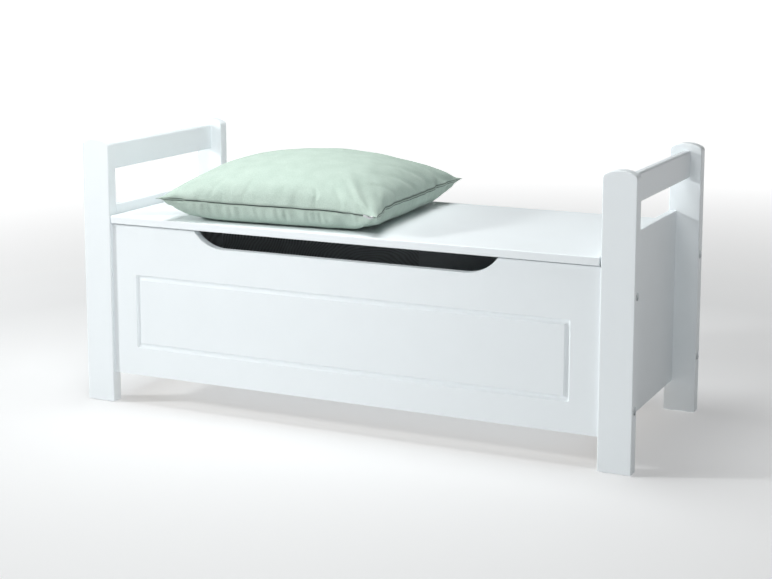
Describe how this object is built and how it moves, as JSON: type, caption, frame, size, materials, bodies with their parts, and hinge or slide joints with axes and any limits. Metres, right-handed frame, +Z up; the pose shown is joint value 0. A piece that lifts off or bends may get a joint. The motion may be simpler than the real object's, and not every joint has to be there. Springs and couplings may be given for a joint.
{
  "type": "storage bench",
  "caption": "White painted storage bench with arched posts, arm rails, a grooved front with a hand cut-out, a hinged seat lid over the box and a loose square cushion.",
  "frame": {"origin": "on the floor under the middle of the bench", "axes": "+Z up, +X along the seat to the right of someone looking at the front, +Y to the back"},
  "size_m": [1.1, 0.4738, 0.516],
  "materials": {
    "white_paint": "satin white paint",
    "bare_wood": "planed softwood",
    "zinc_steel": "zinc plated",
    "bumper_rubber": "soft, matt",
    "white_plastic": "fine matt",
    "cushion_cloth": "soft brushed weave"
  },
  "bodies": {
    "carcass": {"back_panel": "white_paint", "barrel_nuts": "zinc_steel", "bolt_caps": "white_plastic", "cleat_screws": "zinc_steel", "connector_bolts": "zinc_steel", "floor_panel": "white_paint", "foot_glides": "white_plastic", "front_floor_cleat": "bare_wood", "front_left_post": "white_paint", "front_panel": "white_paint", "front_right_post": "white_paint", "hinge_frame_screws": "zinc_steel", "left_arm_rail": "white_paint", "left_floor_cleat": "bare_wood", "left_hinge_frame_leaf": "zinc_steel", "left_hinge_pin": "zinc_steel", "left_side_panel": "white_paint", "lid_bumpers": "bumper_rubber", "middle_hinge_frame_leaf": "zinc_steel", "middle_hinge_pin": "zinc_steel", "rail_dowels": "bare_wood", "rear_floor_cleat": "bare_wood", "rear_left_post": "white_paint", "rear_right_post": "white_paint", "right_arm_rail": "white_paint", "right_floor_cleat": "bare_wood", "right_hinge_frame_leaf": "zinc_steel", "right_hinge_pin": "zinc_steel", "right_side_panel": "white_paint", "side_panel_dowels": "bare_wood"},
    "lid": {"seat_lid": "white_paint", "left_lid_batten": "bare_wood", "right_lid_batten": "bare_wood", "batten_screws": "zinc_steel", "hinge_lid_screws": "zinc_steel", "left_hinge_lid_leaf": "zinc_steel", "middle_hinge_lid_leaf": "zinc_steel", "right_hinge_lid_leaf": "zinc_steel"},
    "cushion": {"cushion": "cushion_cloth"}
  },
  "joints": [
    {"name": "lid_hinge", "type": "hinge", "parent": "carcass", "child": "lid", "pos_m": [0, 0.2152, 0.3528], "axis": [-1, 0, 0], "range_deg": [0, 95]},
    {"name": "cushion_lift", "type": "slide", "parent": "lid", "child": "cushion", "axis": [0, 0, 1], "range_m": [0, 0.2]}
  ]
}
